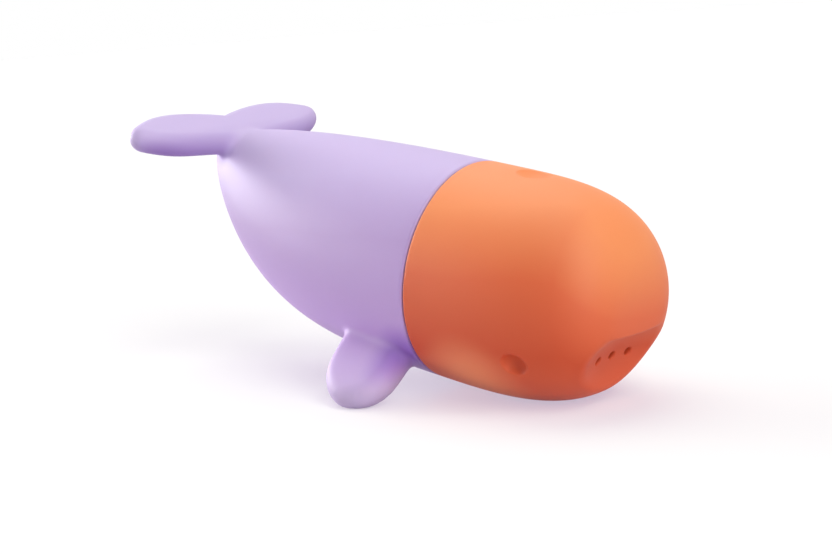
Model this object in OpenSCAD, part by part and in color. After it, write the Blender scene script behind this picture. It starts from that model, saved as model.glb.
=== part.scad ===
// Squeaky bath toy in the shape of a whale. A soft head cap pulls off a hollow tail body for
// cleaning, and a reed squeaker sits behind the holes of the mouth. The shapes are drawn with X
// along the body axis and the joint line at X = 0, and are then stood nose-down on the floor.

/* [Body section] */
// Height of the body at the joint line
seam_h = 65.8; // [60:0.1:72]
// Width of the body at the joint line
seam_w = 62; // [57:0.5:72]
// Gap between the head cap and the tail at the joint line
seam_gap = 0.3; // [0.2:0.05:0.5]
// Nose-down tilt at which the toy stands
pitch = 9; // [8:0.25:10]
// Depth of the small flats that the toy stands on
foot_flat = 0.4; // [0.2:0.05:0.8]

/* [Head cap] */
// Length of the head cap, from the joint line to the nose
head_len = 60; // [54:0.5:70]
// Wall of the soft head cap
head_wall = 3.4; // [2.6:0.1:4.2]
// Drop of the nose tip below the body axis
nose_drop = 2.5; // [0:0.25:5]
// Depth of the moulded rim that holds the coupling ring
rim_len = 12; // [10:0.5:14]

/* [Tail body] */
// Length of the tail body, from the joint line to its end
tail_len = 114; // [100:0.5:130]
// Wall of the tail body
tail_wall = 2; // [1.6:0.1:2.8]
// Rise of the tail's end above the body axis
tail_rise = 20.3; // [16:0.1:23]

/* [Flukes] */
// Span of the flukes, tip to tip
fluke_span = 79.6; // [74:0.2:86]
// Length of the flukes from front to back near the body
fluke_chord = 19.6; // [17:0.2:22]
// Thickness of the flukes
fluke_t = 8.2; // [7.4:0.2:9.4]
// Backward sweep of the flukes, from their middle to their tips
fluke_sweep = 5.6; // [3:0.2:9]
// Wall left around the hollow of the flukes
fluke_wall = 2; // [1.5:0.1:2.2]
// Distance of the flukes' middle in front of the tail's end
fluke_back = 9.3; // [7:0.1:12]
// Height of the flukes' middle above the body axis
fluke_height = 24.1; // [22:0.1:27]
// Upward tilt of the flukes, front edge to back edge
fluke_tilt = 19; // [14:0.5:24]

/* [Fins] */
// Distance of the fins' roots behind the joint line
fin_back = 20; // [17:0.5:23]
// Distance of the fins' tips behind the joint line
fin_tip_back = 19; // [16:0.5:22]
// Distance between the middles of the two fin tips
fin_spread = 72; // [64:0.5:80]
// Width of a fin from front to back
fin_chord = 23; // [20:0.5:26]
// Thickness of a fin
fin_t = 9.6; // [8:0.2:11]

/* [Face] */
// Distance of the eyes in front of the joint line
eye_ahead = 37.5; // [34:0.5:41]
// Drop of the eyes below the body axis
eye_drop = 14.5; // [12:0.5:17]
// Diameter of an eye dimple
eye_d = 8; // [6:0.25:9]
// Depth of an eye dimple
eye_depth = 1.9; // [1.4:0.1:2.2]
// Distance of the blowhole in front of the joint line
blow_ahead = 21; // [18:0.5:25]
// Diameter of the blowhole dish
blow_d = 11; // [8:0.5:14]
// Depth of the blowhole dish
blow_depth = 1.2; // [0.8:0.1:1.6]
// Drop of the upper lip below the body axis
lip_drop = 5.3; // [4:0.1:7]
// Depth of the overhang under the upper lip
lip_step = 3.3; // [2.8:0.1:3.8]
// Distance of the jaw's edge in front of the joint line
jaw_ahead = 51; // [50:0.1:52]
// Radius of the mouth's hollow, from lip to jaw
mouth_r = 19.5; // [17.5:0.5:22]
// Radius of the mouth's hollow, from side to side
mouth_side_r = 50; // [45:1:55]
// Wall behind the mouth
mouth_wall = 2.6; // [2.2:0.1:3.2]
// Diameter of a mouth hole
hole_d = 2.4; // [1.8:0.1:3]
// Distance between neighbouring mouth holes
hole_pitch = 7; // [6:0.1:7.4]

/* [Coupling] */
// Radius of the spigot that the head cap slides onto
spigot_r = 25; // [23.5:0.1:25.3]
// Length of the spigot in front of the joint line
spigot_len = 15; // [13:0.5:17]
// Length of the sleeve inside the tail
sleeve_len = 14; // [12:0.5:18]
// Wall of the spigot
spigot_wall = 2.6; // [2.4:0.1:3]
// Wall of the coupling ring inside the head cap
ring_wall = 2.4; // [2.2:0.1:2.5]
// Running gap between the coupling ring and the spigot
fit_gap = 0.05; // [0.03:0.01:0.08]
// Thickness of the seal ring
seal_d = 2; // [1.6:0.1:2.1]
// Distance of the seal ring in front of the joint line
seal_ahead = 9.5; // [9:0.25:10]
// Width of the key that lines up the two halves
key_w = 4; // [3:0.25:6]
// Height of the key above the spigot
key_h = 1.2; // [0.8:0.1:1.3]
// Length of the key
key_len = 6; // [4:0.5:6.5]

/* [Squeaker] */
// Radius of the squeaker's case
case_r = 10; // [9.6:0.1:10.5]
// Length of the squeaker's case
case_len = 18; // [17:0.5:20]
// Wall of the squeaker's case
case_wall = 1.2; // [1:0.1:1.5]
// Overhang of the case's front flange
flange_over = 1.4; // [1:0.1:1.8]
// Thickness of the case's front flange
flange_t = 1.6; // [1.3:0.1:2]
// Radius of the case's air outlet
outlet_r = 3; // [2:0.1:3.5]
// Tilt of the squeaker below the body axis
voice_tilt = 17; // [14:0.5:20]
// Depth of the air space between the mouth's wall and the squeaker
plenum_len = 1.2; // [1:0.1:1.6]
// Depth of the socket that grips the squeaker
socket_len = 8; // [7:0.5:9]
// Wall of the socket
socket_wall = 2.6; // [2.2:0.1:3]
// Gap between the soft socket and the squeaker
socket_gap = 0.1; // [0.08:0.01:0.15]
// Thickness of the reed block's disc
disc_t = 3.4; // [3:0.1:3.8]
// Length of the tongue under the reed
tongue_len = 8; // [7:0.25:8.5]
// Radius of the tongue under the reed
tongue_r = 3.6; // [3.2:0.1:4.2]
// Width of the reed
reed_w = 4.4; // [3.8:0.1:4.8]
// Thickness of the reed
reed_t = 0.25; // [0.2:0.01:0.35]
// Lift of the reed's flat above the face of its tongue
reed_lift = 0.9; // [0.8:0.05:1]
// Width of the air channel under the reed
channel_w = 2.8; // [2:0.1:3]
// Height of the wedge that clamps the reed
wedge_h = 1.8; // [1.4:0.1:2.2]
// Thickness of the squeaker's rear cover
cover_t = 1.5; // [1.2:0.1:2]
// Diameter of the holes in the rear cover
vent_d = 2.4; // [1.8:0.1:2.8]

/* [Hidden] */

lavender = [0.78, 0.70, 0.89];
orange = [0.93, 0.50, 0.31];
collar_white = [0.93, 0.93, 0.95];
seal_grey = [0.55, 0.53, 0.60];
squeak_white = [0.96, 0.96, 0.94];
brass = [0.83, 0.68, 0.35];

// Outline curves: each pair holds the fullness and the roundness of one edge of the body
head_top_bow = [4.5, 2.6];
head_under_bow = [3.2, 2.4];
head_side_bow = [3.6, 3.2];
tail_top_bow = [2.4, 1.9];
tail_under_bow = [3.6, 1.3];
tail_side_bow = [1.8, 1.5];

ring_sides = 56;
head_rings = 22;
tail_rings = 22;
mouth_slices = 12;
cut_over = 1;
far_over = 200;
half_gap = seam_gap / 2;
slice_t = 0.03;
mouth_half_share = 0.36;
fin_root_drop_share = 0.3;
fin_root_out_share = 0.2;
groove_share = 0.6;
channel_depth_share = 0.7;
channel_end_share = 0.2;
reed_end_share = 0.1;
vent_ring_share = 0.6;
vent_count = 6;
look_count = 200;

// Share of the full depth that is left at share s of the length
function bow(s, b) = pow(max(0, 1 - pow(s, b[0])), 1 / b[1]);
// Share of the length at which the share d of the full depth is left
function bow_reach(d, b) = pow(1 - pow(d, b[1]), 1 / b[0]);

// A cross-section: place along the body axis, top, underside and half width
function head_section(s, wall) = [
    half_gap + (head_len - wall - half_gap) * s,
    (seam_h / 2 - wall + nose_drop) * bow(s, head_top_bow) - nose_drop,
    -(seam_h / 2 - wall - nose_drop) * bow(s, head_under_bow) - nose_drop,
    (seam_w / 2 - wall) * bow(s, head_side_bow)];
function tail_section(s, wall) = [
    -half_gap - (tail_len - wall - half_gap) * s,
    (seam_h / 2 - wall - tail_rise) * bow(s, tail_top_bow) + tail_rise,
    -(seam_h / 2 - wall + tail_rise) * bow(s, tail_under_bow) + tail_rise,
    (seam_w / 2 - wall) * bow(s, tail_side_bow)];
function ring_points(c, turn) = [for (i = [0:ring_sides - 1]) let (a = turn * i / ring_sides)
    [c[0], c[3] * cos(a), (c[1] + c[2]) / 2 + (c[1] - c[2]) / 2 * sin(a)]];
function ring_shares(count) = [for (i = [0:count - 1]) sin(90 * i / count)];

// Where the squeaker and the mouth holes sit, on the line of the mouth's hollow
lip_share = bow_reach((lip_drop - nose_drop) / (seam_h / 2 - nose_drop), head_under_bow);
lip = [half_gap + (head_len - half_gap) * lip_share - lip_step, -lip_drop];
jaw = [jaw_ahead, head_section((jaw_ahead - half_gap) / (head_len - half_gap), 0)[2]];
mouth_chord = norm(lip - jaw);
mouth_out = [lip[1] - jaw[1], jaw[0] - lip[0]] / mouth_chord;
mouth_mid = (lip + jaw) / 2;
mouth_centre = mouth_mid + mouth_out * sqrt(pow(mouth_r, 2) - pow(mouth_chord / 2, 2));
hole_share = 0.49;
hole_chord_point = lip + (jaw - lip) * hole_share;
hole_from_centre = hole_chord_point - mouth_centre;
hole_at = mouth_centre + hole_from_centre / norm(hole_from_centre) * mouth_r;
mouth_half = seam_w * mouth_half_share;

// The flukes' stations from the middle to a tip: place, half chord, radius and chord direction
fluke_mid = [fluke_back - tail_len, 0, fluke_height];
fluke_dir = [-cos(fluke_tilt), 0, sin(fluke_tilt)];
fluke_shares = [0, 0.2, 0.42, 0.66, 0.86, 1];
fluke_chord_shares = [0.98, 0.985, 1, 0.985, 0.85, 0.58];
fluke_sweep_shares = [0, 0.45, 0.75, 0.88, 0.94, 1];
function fluke_stations(side, wall) = [for (i = [0:len(fluke_shares) - 1])
    let (reach = (fluke_span - fluke_t) / 2, r = fluke_t / 2)
    [fluke_mid + fluke_dir * fluke_sweep * fluke_sweep_shares[i] + [0, side * reach * fluke_shares[i], 0],
     fluke_chord * fluke_chord_shares[i] / 2 - r, r - wall, fluke_dir]];

// How the toy stands: the head's underside and the fin tips share one floor
function stood(p) = [p[0] * cos(pitch) + p[2] * sin(pitch), p[1], p[2] * cos(pitch) - p[0] * sin(pitch)];
look_shares = [for (i = [0:look_count]) i / look_count];
under_heights = [for (s = look_shares) let (c = head_section(s, 0)) stood([c[0], 0, c[2]])[2]];
front_reaches = [for (s = look_shares) let (c = head_section(s, 0)) stood([c[0], 0, c[1]])[0]];
back_reaches = [for (c = fluke_stations(1, 0)) stood(c[0] + c[3] * c[1])[0] - c[2]];
lift = -min(under_heights) - foot_flat;
slide_to = -(max(front_reaches) + min(back_reaches)) / 2;

module loft(rings, apex) {
    count = len(rings);
    points = [for (r = rings) each r, apex];
    sides = [for (j = [0:count - 2], i = [0:ring_sides - 1])
        let (k = (i + 1) % ring_sides, a = j * ring_sides)
        each [[a + i, a + k, a + ring_sides + i], [a + k, a + ring_sides + k, a + ring_sides + i]]];
    tip = [for (i = [0:ring_sides - 1]) let (k = (i + 1) % ring_sides, a = (count - 1) * ring_sides)
        [a + i, a + k, count * ring_sides]];
    base = [[for (i = [ring_sides - 1:-1:0]) i]];
    polyhedron(points, concat(sides, tip, base), convexity = 4);
}

module head_form(wall) {
    end = head_section(1, wall);
    loft([for (s = ring_shares(head_rings)) ring_points(head_section(s, wall), -360)], [end[0], 0, end[1]]);
}

module tail_form(wall) {
    end = tail_section(1, wall);
    loft([for (s = ring_shares(tail_rings)) ring_points(tail_section(s, wall), 360)], [end[0], 0, end[1]]);
}

module along_body(from, to, radius) {
    translate([from, 0, 0]) rotate([0, 90, 0]) cylinder(h = to - from, r = radius, $fn = 96);
}

// The space in front of, or behind, a plane across the body
module ahead_of(x) {
    translate([x, -far_over / 2, -far_over / 2]) cube(far_over);
}

module behind(x) {
    translate([x - far_over, -far_over / 2, -far_over / 2]) cube(far_over);
}

// The space under the floor, in the drawing's own frame
module under_floor() {
    rotate([0, -pitch, 0]) translate([-far_over, -far_over, -lift - far_over * 2])
        cube(far_over * 2);
}

module stand() {
    translate([slide_to, 0, lift]) rotate([0, pitch, 0]) children();
}

// A flat paddle: rounded bars from station to station, each [middle, half chord, radius, chord direction]
module paddle(stations) {
    for (i = [0:len(stations) - 2]) hull() {
        for (c = [stations[i], stations[i + 1]], side = [-1, 1])
            translate(c[0] + c[3] * c[1] * side) sphere(r = c[2], $fn = 28);
    }
}

fin_shares = [0, 0.34, 0.78, 1];
fin_chord_shares = [1.1, 1.08, 1, 0.74];
fin_t_shares = [1.3, 1.1, 1, 0.94];
fin_root_drop = seam_h * fin_root_drop_share;
fin_root_out = seam_w * fin_root_out_share;
function unstood(p) = [p[0] * cos(pitch) - p[2] * sin(pitch), p[1], p[2] * cos(pitch) + p[0] * sin(pitch)];
function fin_stations(side) = let (
    root = [-fin_back, side * fin_root_out, -fin_root_drop],
    tip_r = fin_t * fin_t_shares[3] / 2,
    tip = unstood([-fin_tip_back, side * fin_spread / 2, tip_r - foot_flat - lift]),
    aft = [-1, 0, 0])
    [for (i = [0:len(fin_shares) - 1]) let (r = fin_t * fin_t_shares[i] / 2)
        [root + (tip - root) * fin_shares[i], fin_chord * fin_chord_shares[i] / 2 - r, r, aft]];

module tail_shell() {
    color(lavender) stand() difference() {
        union() {
            tail_form(0);
            for (side = [-1, 1]) {
                paddle(fluke_stations(side, 0));
                paddle(fin_stations(side));
            }
        }
        intersection() {
            tail_form(tail_wall);
            behind(-sleeve_len);
        }
        for (side = [-1, 1]) paddle(fluke_stations(side, fluke_wall));
        along_body(-sleeve_len - cut_over, cut_over, ring_r + fit_gap);
        ahead_of(-half_gap);
        under_floor();
    }
}

ring_r = spigot_r + fit_gap + ring_wall;

module neck_collar() {
    groove_r = spigot_r - seal_d;
    color(collar_white) stand() difference() {
        union() {
            along_body(-sleeve_len, 0, ring_r);
            along_body(-sleeve_len, spigot_len, spigot_r);
            translate([0, -key_w / 2, 0]) cube([key_len, key_w, spigot_r + key_h]);
        }
        along_body(-sleeve_len - cut_over, spigot_len + cut_over, spigot_r - spigot_wall - seal_d / 2);
        difference() {
            along_body(seal_ahead - seal_d * groove_share, seal_ahead + seal_d * groove_share, ring_r);
            along_body(seal_ahead - seal_d, seal_ahead + seal_d, groove_r);
        }
    }
}

module collar_seal() {
    color(seal_grey) stand() translate([seal_ahead, 0, 0]) rotate([0, 90, 0])
        rotate_extrude($fn = 96) translate([spigot_r + fit_gap / 2 - seal_d / 2, 0])
            circle(r = seal_d / 2, $fn = 24);
}

module head_ring() {
    keyway = key_w + seam_gap;
    color(collar_white) stand() difference() {
        along_body(half_gap, rim_len, ring_r);
        along_body(-cut_over, rim_len + cut_over, spigot_r + fit_gap);
        translate([-cut_over, -keyway / 2, 0])
            cube([rim_len + cut_over * 2, keyway, spigot_r + key_h + seam_gap]);
    }
}

// The mouth's hollow, from side to side in round slices under the lip; wall makes it larger
module mouth_hollow(wall) {
    step = mouth_half * 2 / mouth_slices;
    intersection() {
        for (i = [0:mouth_slices - 1]) hull() {
            for (y = [-mouth_half + step * i, -mouth_half + step * (i + 1)])
                translate([mouth_centre[0], y, mouth_centre[1]]) rotate([90, 0, 0])
                    cylinder(h = slice_t, r = mouth_r + wall - pow(y, 2) / mouth_side_r / 2,
                             center = true, $fn = 128);
        }
        translate([0, -far_over / 2, wall - lip_drop - far_over]) cube(far_over);
    }
}

// Places a child on the squeaker's axis, whose +Z points out through the mouth
module at_voice(back) {
    translate([hole_at[0], 0, hole_at[1]]) rotate([0, 90 + voice_tilt, 0])
        translate([0, 0, -back]) children();
}

seat_back = mouth_wall + plenum_len;
bore_r = case_r - case_wall;
disc_at = cover_t + vent_d;

module at_eye(side) {
    c = head_section((eye_ahead - half_gap) / (head_len - half_gap), 0);
    mid = (c[1] + c[2]) / 2;
    half = (c[1] - c[2]) / 2;
    out = asin((-eye_drop - mid) / half);
    translate([eye_ahead, side * c[3] * cos(out), -eye_drop]) rotate([side * (out - 90), 0, 0]) children();
}

function dish_r(d, depth) = (pow(d / 2, 2) + pow(depth, 2)) / depth / 2;

module dish(d, depth) {
    r = dish_r(d, depth);
    translate([0, 0, r - depth]) sphere(r = r, $fn = 64);
}

module head_shell() {
    blow = head_section((blow_ahead - half_gap) / (head_len - half_gap), 0);
    color(orange) stand() difference() {
        head_form(0);
        difference() {
            intersection() {
                head_form(head_wall);
                ahead_of(rim_len);
            }
            mouth_hollow(mouth_wall);
            at_voice(seat_back + socket_len)
                cylinder(h = seat_back + socket_len, r = case_r + flange_over + socket_wall, $fn = 64);
        }
        along_body(-cut_over, rim_len + cut_over, ring_r + fit_gap);
        mouth_hollow(0);
        at_voice(seat_back + flange_t) cylinder(h = plenum_len + flange_t, r = bore_r, $fn = 64);
        at_voice(seat_back + flange_t + socket_gap)
            cylinder(h = flange_t + socket_gap, r = case_r + flange_over + socket_gap, $fn = 64);
        at_voice(seat_back + socket_len + cut_over)
            cylinder(h = socket_len + cut_over - flange_t / 2, r = case_r + socket_gap, $fn = 64);
        for (i = [-1, 0, 1]) translate([0, i * hole_pitch, 0]) at_voice(seat_back + flange_t)
            cylinder(h = flange_t + seat_back * 2, r = hole_d / 2, $fn = 24);
        for (side = [-1, 1]) at_eye(side) dish(eye_d, eye_depth);
        translate([blow_ahead, 0, blow[1]]) dish(blow_d, blow_depth);
        behind(half_gap);
        under_floor();
    }
}

module squeaker_case() {
    color(squeak_white) stand() at_voice(seat_back + case_len) difference() {
        union() {
            cylinder(h = case_len, r = case_r);
            translate([0, 0, case_len - flange_t]) cylinder(h = flange_t, r = case_r + flange_over);
        }
        translate([0, 0, -cut_over]) cylinder(h = case_len - flange_t + cut_over, r = case_r - case_wall);
        cylinder(h = case_len + cut_over, r = outlet_r);
    }
}

// The reed's parts lie on the squeaker's axis: Z forward along the reed, Y up from the tongue's face
module in_case(at) {
    stand() at_voice(seat_back + case_len - at) rotate([0, 0, 90]) children();
}

module reed_block() {
    channel_depth = tongue_r * channel_depth_share;
    color(squeak_white) in_case(disc_at) difference() {
        union() {
            cylinder(h = disc_t, r = bore_r);
            intersection() {
                cylinder(h = disc_t + tongue_len, r = tongue_r);
                translate([-tongue_r, -tongue_r * 2, 0])
                    cube([tongue_r * 2, tongue_r * 2, disc_t + tongue_len]);
            }
        }
        translate([-channel_w / 2, -channel_depth, -cut_over])
            cube([channel_w, channel_depth, disc_t + tongue_len - tongue_r * channel_end_share + cut_over]);
        translate([-reed_w / 2 - reed_t, 0, -cut_over])
            cube([reed_w + reed_t * 2, reed_lift + reed_t + wedge_h, disc_t + cut_over * 2]);
    }
}

module reed() {
    color(brass) in_case(disc_at) translate([-reed_w / 2, reed_lift, 0])
        cube([reed_w, reed_t, disc_t + tongue_len - tongue_r * reed_end_share]);
}

module reed_wedge() {
    color(squeak_white) in_case(disc_at) {
        translate([-reed_w / 2, reed_lift + reed_t, 0]) cube([reed_w, wedge_h, disc_t]);
        translate([-reed_w / 2, 0, 0]) cube([reed_w, reed_lift, disc_t]);
        translate([-reed_w / 2, 0, -reed_lift]) cube([reed_w, reed_lift + reed_t + wedge_h, reed_lift]);
    }
}

module squeaker_cover() {
    color(squeak_white) in_case(0) difference() {
        cylinder(h = cover_t, r = bore_r);
        for (i = [1:vent_count]) rotate([0, 0, 360 * i / vent_count])
            translate([bore_r * vent_ring_share, 0, -cut_over])
            cylinder(h = cover_t + cut_over * 2, r = vent_d / 2);
    }
}

tail_shell();
neck_collar();
collar_seal();
head_shell();
head_ring();
squeaker_case();
reed_block();
reed();
reed_wedge();
squeaker_cover();
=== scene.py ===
import math

import bmesh
import bpy
import numpy as np
from mathutils import Matrix, Vector


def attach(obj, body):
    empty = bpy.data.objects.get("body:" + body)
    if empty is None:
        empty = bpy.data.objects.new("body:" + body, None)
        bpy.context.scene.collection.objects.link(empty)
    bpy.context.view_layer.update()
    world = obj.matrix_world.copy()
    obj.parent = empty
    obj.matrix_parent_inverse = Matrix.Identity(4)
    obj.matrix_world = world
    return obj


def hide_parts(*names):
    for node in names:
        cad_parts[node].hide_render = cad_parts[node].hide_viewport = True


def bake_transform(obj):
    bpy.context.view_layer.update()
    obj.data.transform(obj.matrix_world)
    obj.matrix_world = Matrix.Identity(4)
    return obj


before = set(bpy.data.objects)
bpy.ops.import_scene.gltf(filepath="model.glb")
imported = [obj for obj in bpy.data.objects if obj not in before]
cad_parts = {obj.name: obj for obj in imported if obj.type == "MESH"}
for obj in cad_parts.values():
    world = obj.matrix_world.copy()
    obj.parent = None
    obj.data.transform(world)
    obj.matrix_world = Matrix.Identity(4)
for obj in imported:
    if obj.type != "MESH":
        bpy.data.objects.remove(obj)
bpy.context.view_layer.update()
scene = bpy.context.scene
scene.view_settings.view_transform = "Standard"

# Stance and camera. The toy's shapes are drawn in millimetres along the body
# axis, with the joint line at x = 0, and stand nose-down on the floor. The
# camera looks down on the toy's right front, as a product photograph does.
PITCH = math.radians(9)
SEAM_AT = np.array([26.5236, 0, 35.3924])
TO_FLOOR = np.array([
    [math.cos(PITCH), 0, math.sin(PITCH)],
    [0, 1, 0],
    [-math.sin(PITCH), 0, math.cos(PITCH)]])
MM_IN_M = 1000
CAMERA_TURN, CAMERA_RISE, CAMERA_ROLL = -46.87, 9.32, math.radians(-4.235)
CAMERA_FROM_SEAM = Vector((0.30723, -0.35276, 0.07596))
SENSOR_MM, FOCAL_PIXELS, PICTURE_PIXELS = 36, 1601, 832


def stood(points):
    """Points of the drawing, in millimetres, as places in the row frame in metres."""
    return (np.asarray(points, float) @ TO_FLOOR.T + SEAM_AT) / MM_IN_M


def towards(turn, rise):
    """The way to a place at a turn around the toy and a rise above the floor, both in degrees."""
    a, b = math.radians(turn), math.radians(rise)
    return Vector((math.cos(a) * math.cos(b), math.sin(a) * math.cos(b), math.sin(b)))


back = towards(CAMERA_TURN, CAMERA_RISE)
level_right = towards(CAMERA_TURN + 90, 0)
level_up = back.cross(level_right)
right = math.cos(CAMERA_ROLL) * level_right + math.sin(CAMERA_ROLL) * level_up
up = math.cos(CAMERA_ROLL) * level_up - math.sin(CAMERA_ROLL) * level_right
camera = bpy.data.objects.new("camera", bpy.data.cameras.new("camera"))
scene.collection.objects.link(camera)
camera_place = Matrix.Translation(Vector(SEAM_AT / MM_IN_M) + CAMERA_FROM_SEAM)
camera.matrix_world = camera_place @ Matrix((right, up, back)).transposed().to_4x4()
camera.data.sensor_width = SENSOR_MM
camera.data.lens = SENSOR_MM * FOCAL_PIXELS / PICTURE_PIXELS
camera.data.clip_start = 0.01
scene.camera = camera

# Tail body. A soft-touch lavender moulding, hollow and open at the joint line,
# with two flukes and two fins moulded on in thick round lobes. The lobes run
# into the body in fillets, and the fins' tips are flat where they stand.
SEAM_H, SEAM_W, HALF_GAP = 65.8, 62.0, 0.15
TAIL_LEN, TAIL_RISE, TAIL_WALL = 114.0, 20.3, 2.0
TAIL_BOWS = (2.4, 1.9), (3.6, 1.3), (1.8, 1.5)
TAIL_BLUNT, TAIL_BLUNT_ROUND = 1.2, 5
SLEEVE_BORE_R, SLEEVE_LEN, HOLLOW_LEN = 27.5, 14.0, 80
HOLLOW_MOUTH_ROUND, HOLLOW_END_ROUND = 1.5, 8
RIM_BACK, RIM_ROUND, STAND_ROUND, ROOT_FILLET = 0.15, 0.6, 0.8, 2.6
ALMOST_ONE, TINY, TINIEST, FAR_AWAY, SLOPE_STEP = 0.99999, 1e-9, 1e-12, 30.0, 0.3


def smooth_min(a, b, k):
    """The lesser of two distances, rounded over a width of k where they meet."""
    near = np.maximum(k - np.abs(a - b), 0) / k
    return np.minimum(a, b) - near * near * k / 4


def smooth_max(a, b, k):
    """The greater of two distances, rounded in the same way."""
    return -smooth_min(-a, -b, k)


def bow(s, fullness, roundness):
    """The share of its full size that a form keeps at a share of its length."""
    return np.maximum(1 - np.power(s, fullness), TINY) ** (1 / roundness)


def half_section(ahead, wall, length, end_height, bows):
    """Middle height, half height and half width of half the toy, so far from its joint."""
    top_bow, low_bow, side_bow = bows
    s = np.clip((ahead - HALF_GAP) / (length - wall - HALF_GAP), 0, ALMOST_ONE)
    top = (SEAM_H / 2 - wall - end_height) * bow(s, *top_bow) + end_height
    low = -(SEAM_H / 2 - wall + end_height) * bow(s, *low_bow) + end_height
    return (top + low) / 2, (top - low) / 2, (SEAM_W / 2 - wall) * bow(s, *side_bow)


def tail_section(x, wall):
    return half_section(-x, wall, TAIL_LEN, TAIL_RISE, TAIL_BOWS)


def section_distance(section, p, wall, shift=0.0):
    """Distance of points to the oval section at their own x, or at a shift from it."""
    mid, high, wide = section(p[:, 0] + shift, wall)
    y, z = p[:, 1], p[:, 2] - mid
    share = np.sqrt((y / wide) ** 2 + (z / high) ** 2) + TINY
    return share * (share - 1) / (np.sqrt((y / wide ** 2) ** 2 + (z / high ** 2) ** 2) + TINY)


def lofted(section, p, wall, end):
    """Distance to a body whose sections follow curves along x up to its end."""
    here, ahead, behind = (section_distance(section, p, wall, shift) for shift in (0, SLOPE_STEP, -SLOPE_STEP))
    d = here / np.sqrt(1 + ((ahead - behind) / (2 * SLOPE_STEP)) ** 2)
    past = np.maximum((p[:, 0] - end) * math.copysign(1, end), 0)
    return np.where(past > 0, np.sqrt(np.maximum(d, 0) ** 2 + past ** 2), d)


def outline_distance(a, b, outline):
    """Signed distance in a plane to a closed outline of points."""
    nearest = np.full(a.shape, np.inf)
    inside = np.zeros(a.shape, bool)
    for (a0, b0), (a1, b1) in zip(outline, np.roll(outline, -1, 0)):
        ea, eb = a1 - a0, b1 - b0
        t = np.clip(((a - a0) * ea + (b - b0) * eb) / (ea * ea + eb * eb + TINIEST), 0, 1)
        nearest = np.minimum(nearest, (a - a0 - t * ea) ** 2 + (b - b0 - t * eb) ** 2)
        if b0 != b1:
            inside ^= ((b0 > b) != (b1 > b)) & (a < a0 + (b - b0) / (b1 - b0) * ea)
    return np.where(inside, -1, 1) * np.sqrt(nearest)


def only_near(p, low, high, distance):
    """A distance worked out only inside a box, and left large elsewhere."""
    d = np.full(len(p), FAR_AWAY)
    mask = np.all((p > low) & (p < high), 1)
    d[mask] = distance(p[mask])
    return d


def blunt(s, power):
    """The share of its half chord that a lobe keeps towards its blunt tip."""
    return np.maximum(1 - s ** power, 0) ** 0.5


# The flukes' chord and sweep are shares of the full ones, at places from the middle to a tip.
FLUKE_TILT, FLUKE_T, FLUKE_MIDDLE = math.radians(19), 8.2, np.array([9.3 - TAIL_LEN, 0, 24.1])
FLUKE_REACH, FLUKE_CHORD, FLUKE_SWEEP = 35.7, 19.6, 5.6
FLUKE_PLACES = [0, 0.2, 0.42, 0.66, 0.86, 1]
FLUKE_CHORDS = [0.98, 0.985, 1, 0.985, 0.85, 0.61]
FLUKE_SWEEPS = [0, 0.45, 0.75, 0.88, 0.94, 1]
FLUKE_CURVE_DEGREE, FLUKE_TIP_POWER, FLUKE_POINTS = 4, 6, 22
FLUKE_BOX = [-130, -50, 8], [-80, 50, 45]


def fluke_outline():
    """Both flukes seen square on: a swept middle line with half a chord on either side."""
    chord_of, sweep_of = (np.polynomial.Polynomial.fit(FLUKE_PLACES, shares, FLUKE_CURVE_DEGREE)
                          for shares in (FLUKE_CHORDS, FLUKE_SWEEPS))
    s = np.sin(np.linspace(0, np.pi / 2, FLUKE_POINTS))
    half = (FLUKE_CHORD * chord_of(s) / 2 - FLUKE_T / 2) * blunt(s, FLUKE_TIP_POWER)
    middle, y = FLUKE_SWEEP * sweep_of(s), s * FLUKE_REACH
    lead, trail = np.stack([y, middle - half], 1), np.stack([y, middle + half], 1)
    side = np.concatenate([trail, lead[::-1]])
    return np.concatenate([side, (side * [-1, 1])[::-1]])


fluke_rim = fluke_outline()


def fluke_distance(p):
    """Both flukes: one round-edged plate, swept back, tilted and blunt at its tips."""
    aft = np.array([-math.cos(FLUKE_TILT), 0, math.sin(FLUKE_TILT)])
    over = np.array([math.sin(FLUKE_TILT), 0, math.cos(FLUKE_TILT)])
    q = p - FLUKE_MIDDLE
    flat = outline_distance(p[:, 1], q @ aft, fluke_rim)
    return np.sqrt(np.maximum(flat, 0) ** 2 + (q @ over) ** 2) - FLUKE_T / 2


# The left fin, from its root in the body to its tip. The right one is its mirror image.
FIN_ROOT, FIN_TIP = np.array([-20.0, 12.4, -19.74]), np.array([-13.87, 36.0, -33.87])
FIN_PLACES = [0, 0.34, 0.78, 1]
FIN_HALF_CHORDS = [6.6, 7.5, 7.6, 6.4]
FIN_RADII = [6.2, 5.3, 4.8, 4.6]
FIN_TIP_POWER, FIN_POINTS = 8, 14
FIN_BOX = [-48, 0, -50], [12, 50, 0]


def fin_distance(p):
    """The left fin: a paddle from inside the body down to its tip on the floor."""
    q = p - FIN_ROOT
    out = (FIN_TIP - FIN_ROOT) * [0, 1, 1]
    reach = np.linalg.norm(out)
    out /= reach
    thin = np.cross([1.0, 0, 0], out)
    s = np.sin(np.linspace(0, np.pi / 2, FIN_POINTS))
    half = np.interp(s, FIN_PLACES, FIN_HALF_CHORDS) * blunt(s, FIN_TIP_POWER)
    middle = s * (FIN_TIP - FIN_ROOT)[0]
    front, rear = (np.stack([middle + share * half, s * reach], 1) for share in (1, -1))
    flat = outline_distance(q[:, 0], q @ out, np.concatenate([rear, front[::-1]]))
    radius = np.interp((q @ out) / reach, FIN_PLACES, FIN_RADII)
    return np.sqrt(np.maximum(flat, 0) ** 2 + (q @ thin) ** 2) - radius


def under_floor(p):
    """Depth under the floor, which takes the lowest points off and leaves the resting flats."""
    return -(p @ TO_FLOOR.T + SEAM_AT)[:, 2]


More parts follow.
